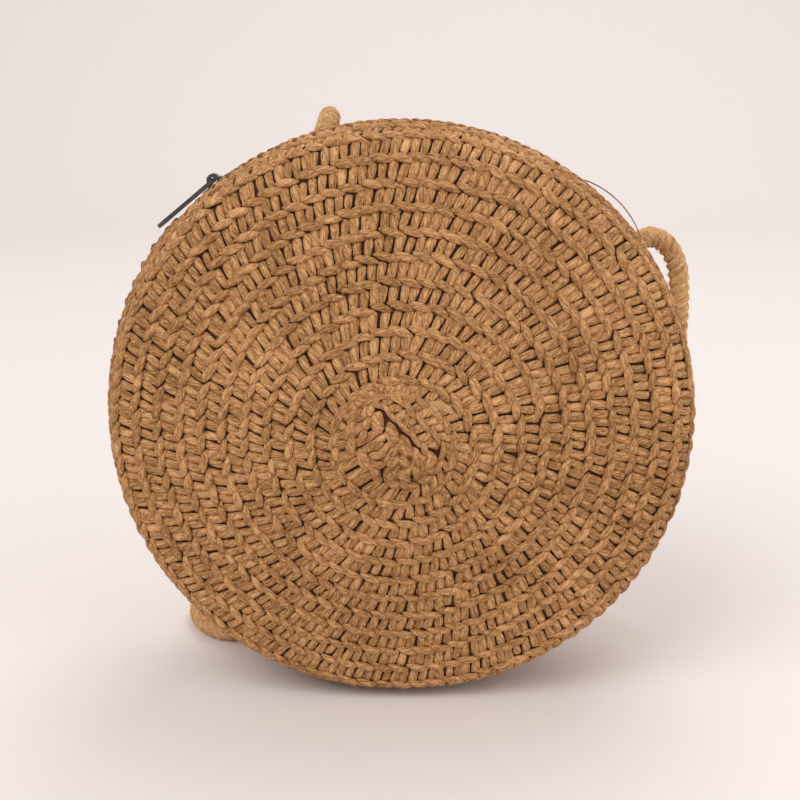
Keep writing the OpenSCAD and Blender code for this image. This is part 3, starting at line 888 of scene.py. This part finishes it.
def loose_stitch(name):
    """A stitch that has worked loose and stands off the rim in a low arc."""
    loop = []
    for share in np.linspace(0, 1, 12):
        angle = math.radians(LOOSE_FROM - LOOSE_SPAN * share)
        out = RIM_R - LOOSE_UNDER + LOOSE_RISE * math.sin(math.pi * share) ** 0.7
        loop.append((out * math.cos(angle), LOOSE_Y, BAG_Z + out * math.sin(angle)))
    return rope_mesh(name, *smoothed(loop, 0.8), 0.2, 1.6, plies=2, sides=6)


class BAG_OT_edges(bpy.types.Operator):
    """Binds the mouth's straw edges, sews them and joins the two rims with whip stitches"""

    bl_idname = "bag.edges"
    bl_label = "Edges and stitches"

    def execute(self, context):
        for dish, side in DISHES:
            low, high = mouth_of(dish)
            edge = ring_route(dish, EDGE_S + CORD_IN, high + 0.5, low - 0.5)
            bound(side + "_edge_cord", edge, 3.3)
            rows = []
            for s in STITCH_ROWS:
                line = ring_route(dish, s, high + 2, low - 2)
                base = stitch(side + "_stitches", 1.2, -32, 0.2, 0.86)
                rows.append(row_of(base, line, STITCH_PITCH, STITCH_LOOSE))
            if dish is FRONT:
                rows.append(loose_stitch("loose_stitch"))
            kept(joined(side + "_stitches", rows), "thread", "thread")
        whip = row_of(
            stitch("rim_whip", 3.1, 64, 0.42, 1.0, 0.5),
            ring_route(FRONT, 0.0, 360.0 - 3, MOUTH[1] + 3),
            WHIP_PITCH,
            WHIP_LOOSE,
            lambda out, points: points[..., 2].min(1) > WHIP_CLEAR * MM,
        )
        kept(whip, "thread", "thread", "rim_thread")
        bound("rim_strip", ring_route(FRONT, 0.5, 360.0 - 1, MOUTH[1] + 1), 3.4)
        return {"FINISHED"}


# Folds over the coil's start: place on the dish's map, heading in degrees, length, width
FOLDS = (
    (-2.0, 0.2, 50, 0.62, 0.95), (0.9, 0.1, 130, 0.62, 0.95),
    (-2.3, -3.0, 48, 0.66, 1.0), (0.9, -3.1, 132, 0.66, 1.0),
    (-2.9, -7.2, 46, 0.7, 1.0), (0.6, -7.4, 134, 0.7, 1.0),
    (-7.0, 1.6, 20, 0.6, 0.9), (-6.8, -1.2, 12, 0.62, 0.9), (-6.4, -4.0, 6, 0.62, 0.9),
    (4.4, -2.6, 112, 0.6, 0.9), (4.2, -6.2, 100, 0.62, 0.9), (8.0, -3.4, 80, 0.6, 0.9),
    (-9.6, 7.6, 62, 0.6, 0.9), (-10.6, 4.0, 75, 0.62, 0.9),
)
FOLD_LIFT = 0.55
# Rings of the spot of glue round its own middle, its tips and its place on the front's map
GLUE = (
    (-2.6, 0.6, 0.9, 0.9, 0.35), (-0.8, 0.1, 1.0, 1.7, 0.5),
    (1.2, -0.5, 1.0, 1.5, 0.5), (2.9, -1.6, 0.95, 1.1, 0.4),
)
GLUE_TIPS = ((-4.4, 1.0, 0.8), (4.2, -2.4, 0.8))
GLUE_AT = (11.2, 12.6)


class BAG_OT_centre(bpy.types.Operator):
    """Lays the folds over the coil's start and the spot of glue beside it"""

    bl_idname = "bag.centre"
    bl_label = "Folded centre"

    def execute(self, context):
        base = leaf("front_folds", slant_deg=0, off=0.0)
        co, tone, strand = row_map(base, len(FOLDS), 100.0)
        for k, (u, v, heading, long, wide) in enumerate(FOLDS):
            turn = math.radians(heading)
            x, y = co[k, :, 0] * long, co[k, :, 1] * wide
            co[k] = FRONT.place(
                u + x * math.cos(turn) - y * math.sin(turn),
                v + x * math.sin(turn) + y * math.cos(turn),
                co[k, :, 2] + FOLD_LIFT,
            )
        kept(mapped(moved(base, co), tone, strand), "straw", "leaves")
        glue = grain("front_glue", GLUE, GLUE_TIPS)
        applied(glue, "SUBSURF", levels=1, render_levels=1)
        x, y, z = points_of(glue).T
        kept(moved(glue, FRONT.place(x + GLUE_AT[0], y + GLUE_AT[1], z)), "straw", "glue")
        return {"FINISHED"}


# -------- strap

# The strap's line from hole to hole, without the coil behind the bag
RIGHT_HOLE = [(73.073, 21.971, 133.851), (73.553, 22.876, 134.151)]
LEFT_HOLE = [(-23.906, 22.876, 171.562), (-23.751, 21.971, 171.018)]
RIGHT_RUN = [
    (76, 26.6, 136.4), (79.8, 29.6, 138.4), (84.6, 31.9, 137.1), (88.3, 33.6, 133.7),
    (91, 34.4, 128.4), (92.2, 34.6, 121.4), (92.6, 34.6, 112.5), (92.5, 34.7, 102.6),
    (91.8, 35, 91.6), (88.5, 35.8, 76.5), (83.1, 37.2, 59.3), (75, 39, 42.2), (64.3, 41, 26.6),
    (53.2, 42.3, 15), (40, 42.7, 7.5), (26, 42.3, 4.8), (16, 42, 4.3), (10.5, 42, 4.3),
]
LEFT_RUN = [
    (-10.5, 42, 11.9), (-16, 41.8, 11.4), (-22.5, 39.4, 8.6), (-30, 37.4, 5.4), (-37.1, 33.2, 4),
    (-43.8, 27.2, 3.6), (-50.9, 21, 3.6), (-58.6, 18.6, 3.6), (-66, 22.2, 3.6),
    (-70.9, 29.4, 3.6), (-72.8, 37.4, 3.6), (-71.2, 44, 3.6), (-66.6, 48.8, 3.6),
    (-60.2, 50.4, 4), (-53, 50.2, 6.3), (-47, 49.4, 12), (-43.2, 47.8, 21.5), (-40.8, 46.6, 34),
    (-38.6, 45.4, 50), (-36.6, 44.6, 68), (-34.8, 44, 86), (-33, 43.6, 104), (-31, 43.6, 122),
    (-28.6, 43.7, 140), (-26.3, 43.7, 153.9), (-24.6, 43, 165), (-23.8, 41, 170.6),
    (-23.3, 37.7, 174.3), (-22.9, 34, 176), (-22.8, 30.4, 175.5), (-23.2, 27.2, 174.3),
]
# The coil behind the bag: its middle, outer radius, step between turns and layers, first height,
# half its winding and where its ends leave it
BEHIND_Y = 84.0
BEHIND_R = 42.0
BEHIND_STEP = 7.6
BEHIND_LOW = 4.3
BEHIND_DEG = 540
BEHIND_ENDS = 7.0
# Twine round the coil's bundle: low, high, near and far face, then turns, corner and half width
TIE_BOX = (0.7, 15.85, BEHIND_Y + 26.65, BEHIND_Y + 42.15)
TWINE_TURNS = 4
TWINE_CORNER = 3.2
TWINE_HALF = 2.3
# Makes a count that comes out half way round up
ROUND_UP = 1e-9
# How deep a rope's grooves are between its plies
GROOVE = 0.36
# Loose fibres: how many to a millimetre, sides, thickness along each, and least height
FIBRES_PER_MM = 3.2
FIBRE_SIDES = 3
FIBRE_THICK = (0.07, 0.055, 0.02)
FIBRE_CLEAR = 0.15
# The strap's holes in the back wall, and the knots inside it
HOLE_S = 19.0
HOLE_R, HOLE_D, HOLE_LEAN = (float(v) for v in BACK.at(HOLE_S))
HOLE_HEAD = math.pi / 2 - HOLE_LEAN - math.radians(50)
KNOT_MID = 15.0
KNOT_SIZE = 3.6
KNOT_LONG = 1.15
KNOTS = (("right_knot", 32.0), ("left_knot", 106.0))


def unit(v):
    """Vectors made one long."""
    return v / np.maximum(np.linalg.norm(v, axis=-1, keepdims=True), 1e-6)


def rope_size():
    """The rope's thickness and lay in millimetres."""
    return chosen().rope_diameter / MM, chosen().rope_lay / MM


def coil_points():
    """The strap's coil behind the bag: in on the lower layer, out on the upper one."""
    near = BEHIND_Y - BEHIND_R
    points = [(BEHIND_ENDS, near, BEHIND_LOW)]
    for deg in range(0, 2 * BEHIND_DEG + 1, 15):
        r = BEHIND_R - BEHIND_STEP * (BEHIND_DEG - abs(deg - BEHIND_DEG)) / 360
        rise = (1 + math.sin(math.radians(max(-90, min(90, deg - BEHIND_DEG))))) / 2
        x, y = -r * math.sin(math.radians(deg)), BEHIND_Y - r * math.cos(math.radians(deg))
        points.append((x, y, BEHIND_LOW + BEHIND_STEP * rise))
    return points + [(-BEHIND_ENDS, near, BEHIND_LOW + BEHIND_STEP)]


def smoothed(points, step):
    """A smooth line through points, resampled at an even step, and each place's length along."""
    p = np.array(points, float)
    p = np.concatenate([[2 * p[0] - p[1]], p, [2 * p[-1] - p[-2]]])
    t = np.linspace(0, 1, 12, endpoint=False)[:, None]
    line = []
    for a, b, c, d in zip(p[:-3], p[1:-2], p[2:-1], p[3:]):
        bend = (2 * a - 5 * b + 4 * c - d) * t**2 + (3 * b - a - 3 * c + d) * t**3
        line.append((2 * b + (c - a) * t + bend) / 2)
    line = np.concatenate(line + [p[-2:-1]])
    far = np.concatenate([[0], np.cumsum(np.linalg.norm(np.diff(line, axis=0), axis=1))])
    at = np.linspace(0, far[-1], max(3, round(far[-1] / step + ROUND_UP) + 1))
    return np.stack([np.interp(at, far, line[:, k]) for k in range(3)], 1), at


def frames(line):
    """Heading and two directions across a line, turned as little as can be."""
    heading = unit(np.gradient(line, axis=0))
    up = np.array([0.0, 0.3, 1.0])
    ups = []
    for h in heading:
        up = unit(up - (up @ h) * h)
        ups.append(up)
    return heading, np.array(ups), np.cross(heading, ups)


def tube_faces(rings, sides, count=1):
    """Faces of closed tubes whose points run ring by ring and tube by tube."""
    i, j = np.meshgrid(np.arange(rings - 1), np.arange(sides), indexing="ij")
    a, b = i * sides + j, i * sides + (j + 1) % sides
    walls = np.stack([a, b, b + sides, a + sides], -1).reshape(-1, 4)
    ends = np.array([np.arange(sides)[::-1], np.arange(sides) + (rings - 1) * sides])
    faces = []
    for first in range(0, count * rings * sides, rings * sides):
        faces += (walls + first).tolist() + (ends + first).tolist()
    return faces


def rope_mesh(name, line, at, radius, lay_len, plies=3, sides=24):
    """A twisted rope as one closed skin: round plies that wind along its line."""
    _, ups, across = frames(line)
    k = np.arange(sides) / sides * TURN
    wound = k - TURN * at[:, None] / lay_len
    lobe = 1 - GROOVE * (1 - np.abs(np.cos(plies * wound / 2)) ** 0.8)
    ring = np.cos(k)[:, None] * ups[:, None] + np.sin(k)[:, None] * across[:, None]
    points = line[:, None] + (radius * lobe)[..., None] * ring
    piece = meshed(name, points.reshape(-1, 3) * MM, tube_faces(len(line), sides))
    along = np.repeat(at[:, None], sides, 1)
    strand = np.stack([along, np.sin(wound) * radius * 2, np.cos(wound) * radius * 2], -1)
    ply = np.floor(wound / TURN * plies) % plies
    # Each ply has its own tone, darkened by lobe squared in the grooves between plies as painted
    # shade
    return mapped(piece, (0.3 + 0.4 * ((ply * 0.37 + 0.2) % 1)) * lobe**2, strand)


def fuzz(name, line, at, radius):
    """Loose fibres that stand off the rope, each a thin bent sliver."""
    count = int(at[-1] * FIBRES_PER_MM)
    heading, ups, across = frames(line)
    pick = rng.integers(0, len(line) - 1, count)
    angle = rng.random(count) * TURN
    out = np.cos(angle)[:, None] * ups[pick] + np.sin(angle)[:, None] * across[pick]
    side = np.cross(out, heading[pick])
    lean = rng.normal(0, 0.9, (count, 1)) * heading[pick] + rng.normal(0, 0.9, (count, 1)) * side
    long = rng.uniform(0.9, 2.6, (count, 1))
    base = line[pick] + out * radius * 0.86
    aim = unit(out * 0.55 + lean)
    droop = rng.normal(0, 0.25, (count, 3))
    spine = np.stack([base, base + aim * long * 0.5, base + (aim + droop * 0.6) * long])
    clear = spine[..., 2].min(0) > FIBRE_CLEAR
    at = at[pick]
    spine = spine[:, clear]
    aim, out, at, angle = (values[clear] for values in (aim, out, at, angle))
    other = unit(np.cross(aim, out))
    k = (np.arange(FIBRE_SIDES) / FIBRE_SIDES * TURN)[:, None, None]
    ring = np.cos(k) * other + np.sin(k) * np.cross(aim, other)
    points = spine[:, None] + np.array(FIBRE_THICK)[:, None, None, None] * ring
    count, size = len(at), len(FIBRE_THICK) * FIBRE_SIDES
    points = points.reshape(size, count, 3).swapaxes(0, 1).reshape(-1, 3)
    piece = meshed(name, points * MM, tube_faces(len(FIBRE_THICK), FIBRE_SIDES, count))
    tone = rng.random(count)
    strand = np.stack([at, angle * 4, tone * 50], 1)
    return mapped(piece, np.repeat(tone, size), np.repeat(strand, size, 0))


def knot(name, angle_deg):
    """The strap's end inside the bag: the rope runs in and is tied in a round knot."""
    angle = math.radians(angle_deg)
    radial, back = np.array([math.cos(angle), 0, math.sin(angle)]), np.array([0, 1, 0])
    axis = math.cos(HOLE_HEAD) * radial + math.sin(HOLE_HEAD) * back
    hole = HOLE_R * radial + HOLE_D * back + (0, 0, BAG_Z)
    up = unit(np.cross(axis, back))
    side = np.cross(axis, up)
    mid = hole - axis * KNOT_MID
    t = np.linspace(0, TURN, 60)[:, None]
    loop = mid + KNOT_SIZE * (
        (np.sin(t) + 2 * np.sin(2 * t)) * up / 3
        + (np.cos(t) - 2 * np.cos(2 * t)) * side / 3
        - KNOT_LONG * np.sin(3 * t) * axis
    )
    way_in = [hole + axis * 4.4, hole, mid + axis * 2]
    tail = [mid - axis * 2, hole - axis * 19, hole - axis * 23.8]
    wide, lay_len = rope_size()
    parts = []
    for k, (points, share) in enumerate(((way_in, 0.98), (loop, 0.72), (tail, 0.98))):
        line, at = smoothed(points, 0.8)
        parts.append(rope_mesh(f"{name}_{k}", line, at, wide / 2 * share, lay_len, sides=16))
    return joined(name, parts)


def twine(name):
    """Twine wound round the coil's bundle, behind the bag."""
    low, high, near, far = TIE_BOX
    r = TWINE_CORNER
    near, far, low, high = near + r, far - r, low + r, high - r
    ring = []
    corners = ((far, high), (near, high), (near, low), (far, low))
    for start, (y, z) in zip(range(0, 360, 90), corners):
        for angle in np.radians(range(start, start + 91, 15)):
            ring.append((y + r * math.cos(angle), z + r * math.sin(angle)))
    steps = TWINE_TURNS * len(ring)
    points = [(TWINE_HALF * (2 * n / steps - 1), *ring[n % len(ring)]) for n in range(steps)]
    return rope_mesh(name, *smoothed(points, 0.9), 0.55, 3.0, plies=2, sides=8)


class BAG_OT_strap(bpy.types.Operator):
    """Makes the twisted rope strap along its whole line, with its fibres, coil, tie and knots"""

    bl_idname = "bag.strap"
    bl_label = "Rope strap"

    def execute(self, context):
        line, at = smoothed(RIGHT_HOLE + RIGHT_RUN + coil_points() + LEFT_RUN + LEFT_HOLE, 1.1)
        wide, lay_len = rope_size()
        rope = rope_mesh("strap", line, at, wide / 2, lay_len)
        kept(rope, "rope", "rope", "strap_right_run", "strap_coil", "strap_left_run")
        fibres = kept(fuzz("strap_fibres", line, at, wide / 2), "rope", "rope")
        tie = kept(twine("coil_twine"), "thread", "thread", "coil_tie")
        for node, angle in KNOTS:
            kept(knot(node + "_tied", angle), "rope", "rope", node)
        return {"FINISHED"}


# -------- zip tapes and linings

TAPE_T = 0.7
TAPE_HALF_GAP = 1.3
TAPE_FLAT_W = 4.6
TAPE_WALL = (6.7, 8.85, 11.0)
TAPE_UNDER = 0.16
TAPE_END_DEG = 0.3
LINING_OFF = -STRAW_T - 1.2
CLOTH_T = 0.5
# A lining's folds: their depth, and the radii from which and over which they grow
GATHER_DEEP = 0.9
GATHER_FROM = 30
GATHER_OVER = 40
POCKET_W = 90.0
POCKET_H = 72.0
POCKET_CORNER = 14.0
POCKET_DROP = 8.0
POCKET_HEM = 8.0
POCKET_BELLY = 1.6


class BAG_OT_tapes(bpy.types.Operator):
    """Makes the zip's two woven tapes, turned down under the straw along the mouth"""

    bl_idname = "bag.tapes"
    bl_label = "Zip tapes"

    def execute(self, context):
        high, low = CHAIN_R + TAPE_T / 2, CHAIN_R - TAPE_T / 2
        for dish, side in DISHES:
            off = -STRAW_T - TAPE_UNDER
            outer = list(zip(*dish.over(TAPE_WALL, off)))
            inner = list(zip(*dish.over(TAPE_WALL, off - TAPE_T)))
            outline = [(low, TAPE_HALF_GAP), (high, TAPE_HALF_GAP), (high, TAPE_FLAT_W)]
            outline += outer + inner[::-1] + [(low, TAPE_FLAT_W)]
            start, end = mouth_of(dish)
            tape = turned(
                side + "_tape_cloth", dish, outline, start + TAPE_END_DEG, end - TAPE_END_DEG, 100
            )
            tightened(tape, 50)
            kept(tape, "zip_tape", "zip_tape", side + "_tape")
        return {"FINISHED"}


def gathered(piece):
    """Small soft folds in a lining, deepest at its wall."""
    co = points_of(piece)
    x, z = co[:, 0], co[:, 2] - BAG_Z * MM
    r = np.hypot(x, z)
    around = np.arctan2(z, x)
    wave = np.sin(around * 31) * 0.6 + np.sin(around * 53 + 1.3) * 0.4
    share = np.clip((r / MM - GATHER_FROM) / GATHER_OVER, 0, 1)
    push = GATHER_DEEP * MM * wave * share * (co[:, 2] > 6 * MM)
    scale = 1 - np.abs(push) / np.maximum(r, 1e-6)
    co[:, 0] *= scale
    co[:, 2] = BAG_Z * MM + z * scale
    return moved(piece, co)


def pocket_cloth(name):
    """The slip pocket: a bellied patch of cloth on the back lining, its mouth folded over."""
    grid = bpy.ops.mesh.primitive_grid_add
    piece = added(name, grid, x_subdivisions=60, y_subdivisions=48, size=2)
    piece.data.name = name
    co = points_of(piece)
    u, v = co[:, 0], (co[:, 1] + 1) / 2
    cut = np.clip(1 - v * POCKET_H / POCKET_CORNER, 0, 1)
    x = u * (POCKET_W / 2 - POCKET_CORNER * cut)
    z = BAG_Z - POCKET_DROP - POCKET_H / 2 + v * POCKET_H
    panel = np.linspace(BACK.length, BACK.wall, 200)
    s = np.interp(np.hypot(x, z - BAG_Z), BACK.at(panel)[0], panel)
    belly = np.cos(u * math.pi / 2) * np.sin(v * math.pi / 2) ** 2
    off = LINING_OFF - CLOTH_T - 0.15 - belly * POCKET_BELLY - 0.12 * np.sin(u * 17) * v
    off = off - np.where(v > 1 - POCKET_HEM / POCKET_H, CLOTH_T, 0.0)
    moved(piece, np.stack([x, BACK.over(s, off)[1], z], 1) * MM)
    applied(piece, "SOLIDIFY", thickness=CLOTH_T * MM, offset=1)
    tightened(piece, 40)
    return piece


class BAG_OT_linings(bpy.types.Operator):
    """Makes the gathered cloth linings and the slip pocket"""

    bl_idname = "bag.linings"
    bl_label = "Linings and pocket"

    def execute(self, context):
        for dish, side in DISHES:
            name = side + "_lining_cloth"
            cloth = straw_skin(name, dish, LINING_OFF, LINING_OFF - CLOTH_T, LINING_EDGE)
            kept(gathered(cloth), "lining", "lining", side + "_lining")
            s = np.linspace(LINING_EDGE, dish.length, 200)
            area = float(np.trapz(TURN * dish.at(s)[0], s))
        pocket = pocket_cloth("slip_pocket_cloth")
        kept(pocket, "lining", "lining", "slip_pocket", "pocket_hem")
        return {"FINISHED"}


# -------- CAD finishes

CAD_FINISH = {
    "front_teeth": "zip_teeth",
    "back_teeth": "zip_teeth",
    "front_top_stop": "zip_metal",
    "back_top_stop": "zip_metal",
    "bottom_stop": "zip_metal",
    "slider_body": "zip_metal",
    "slider_bail": "zip_metal",
    "pull_tab": "zip_metal",
}


class BAG_OT_finishes(bpy.types.Operator):
    """Gives the CAD pieces that stay their finishes"""

    bl_idname = "bag.finishes"
    bl_label = "Finishes of carried-over pieces"

    def execute(self, context):
        for node, look in CAD_FINISH.items():
            coated(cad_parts[node], look)
        return {"FINISHED"}


# -------- stage

# The camera of the photo: its angle up and distance in metres, the photo's width, and the focal
# length and the shift of the picture's middle in its pixels
CAMERA_UP = 16.05
CAMERA_FAR = 0.3785
PHOTO_W = 800
FOCAL_PX = 1212
SHIFT_PX = (-1.4, 11.0)
SENSOR = 36
# Lamps: name, place, size and power
LAMPS = (
    ("key", (-0.9, -1.1, 1.7), 1.3, 20.5),
    ("fill", (1.4, -0.9, 1.0), 1.6, 8.0),
    ("back", (0.4, 0.7, 1.7), 1.2, 11.0),
)
LAMP_AIM = Vector((0, 0, 0.08))
SKY = (250, 247, 246)
SKY_POWER = 0.62


def stage_material(name, colour):
    """A pale surface that keeps shadows and shows its own plain colour far away."""
    made, nodes, shader = material(name)
    dust = nodes.math("MULTIPLY", nodes.noise(nodes.place(), 40.0, 4.0, 0.5), 0.15)
    pale = nodes.mix(dust, [*colour, 1.0], [c * 0.94 for c in colour] + [1.0])
    nodes.set(shader, "Base Color", pale)
    shader.inputs["Roughness"].default_value = 0.9
    shader.inputs["Specular IOR Level"].default_value = 0.1
    return made


def aimed(towards):
    """The turn that points a camera or lamp away from a direction."""
    return towards.to_track_quat("Z", "Y").to_euler()


class BAG_OT_stage(bpy.types.Operator):
    """Sets the camera, the floor and the lamps"""

    bl_idname = "bag.stage"
    bl_label = "Stage"

    def execute(self, context):
        scene = context.scene
        up = math.radians(CAMERA_UP)
        towards = Vector((0, -math.cos(up), math.sin(up)))
        at = Vector((0, 0, BAG_Z * MM)) + towards * CAMERA_FAR
        camera = scene.camera = added("camera", bpy.ops.object.camera_add, location=at)
        camera.rotation_euler = aimed(towards)
        camera.data.sensor_width = SENSOR
        camera.data.lens = FOCAL_PX * SENSOR / PHOTO_W
        camera.data.shift_x, camera.data.shift_y = (px / PHOTO_W for px in SHIFT_PX)
        camera.data.clip_start = 0.01
        floor = added("floor", bpy.ops.mesh.primitive_plane_add, size=1)
        bpy.ops.object.mode_set(mode="EDIT")
        bpy.ops.transform.resize(value=(8, 6, 1))
        bpy.ops.transform.translate(value=(0, -1.4, 0))
        picked(floor, lambda co: co.y > 0)
        bpy.ops.mesh.extrude_region_move(TRANSFORM_OT_translate={"value": (0, 0, 4)})
        bpy.ops.object.mode_set(mode="OBJECT")
        applied(floor, "BEVEL", width=0.5, segments=16, limit_method="ANGLE")
        floor.data.materials.append(stage_material("floor", chosen().floor_colour))
        floor.data.shade_smooth()
        for name, at, size, power in LAMPS:
            lamp = added(name, bpy.ops.object.light_add, type="AREA", location=at)
            lamp.data.energy = power
            lamp.data.size = size
            lamp.rotation_euler = aimed(Vector(at) - LAMP_AIM)
        world = scene.world = bpy.data.worlds.new("studio")
        world.use_nodes = True
        sky = world.node_tree.nodes["Background"].inputs
        sky[0].default_value = linear(SKY)
        sky[1].default_value = SKY_POWER
        scene.view_settings.view_transform = "Standard"
        return {"FINISHED"}


class BAG_PT_panel(bpy.types.Panel):
    """Lists the bag's pieces in the sidebar"""

    bl_idname = "BAG_PT_panel"
    bl_label = "Woven Bag"
    bl_space_type = "VIEW_3D"
    bl_region_type = "UI"
    bl_category = "Woven Bag"

    def draw(self, context):
        for name in BagSettings.__annotations__:
            self.layout.prop(context.scene.bag_settings, name)
        for step in OPERATORS:
            self.layout.operator(step.bl_idname)


OPERATORS = (
    BAG_OT_stage,
    BAG_OT_strap,
    BAG_OT_finishes,
    BAG_OT_dishes,
    BAG_OT_edges,
    BAG_OT_centre,
    BAG_OT_tapes,
    BAG_OT_linings,
)
CLASSES = (BagSettings,) + OPERATORS + (BAG_PT_panel,)


def register():
    for cls in CLASSES:
        bpy.utils.register_class(cls)
    bpy.types.Scene.bag_settings = PointerProperty(type=BagSettings)


def unregister():
    del bpy.types.Scene.bag_settings
    for cls in reversed(CLASSES):
        bpy.utils.unregister_class(cls)


def main():
    register()
    for step in OPERATORS:
        group, name = step.bl_idname.split(".")
        getattr(getattr(bpy.ops, group), name)()
    bpy.context.view_layer.update()


if __name__ == "__main__":
    main()
